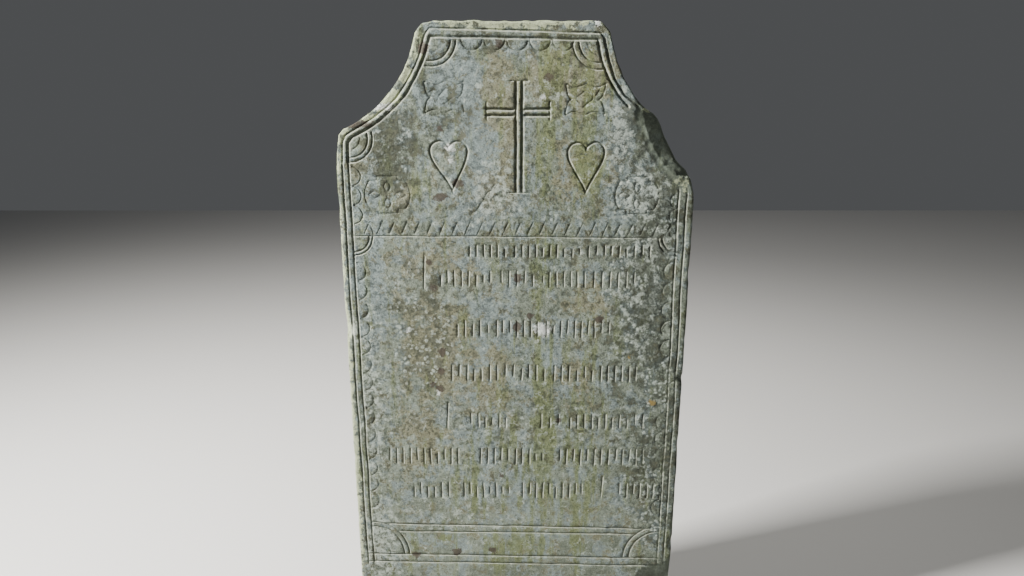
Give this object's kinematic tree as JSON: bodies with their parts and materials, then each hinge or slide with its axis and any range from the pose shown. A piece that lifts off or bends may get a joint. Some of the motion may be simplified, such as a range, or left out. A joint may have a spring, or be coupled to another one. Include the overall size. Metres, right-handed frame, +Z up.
{
  "type": "headstone",
  "caption": "Upright carved stone grave slab with a flat crown, hollowed shoulders, a reeded border, shallow ornament and rows of plain strokes; one shoulder broken.",
  "frame": {"origin": "middle of the underside, where the slab is cut off flat at the ground", "axes": "+Z up, +Y through the thickness towards the back, the carved face looks towards -Y"},
  "size_m": [0.7, 0.09, 1.36],
  "materials": {
    "stone": "rough, weathered, with lichen and algae"
  },
  "bodies": {
    "root": {"headstone_slab": "stone"}
  },
  "joints": []
}
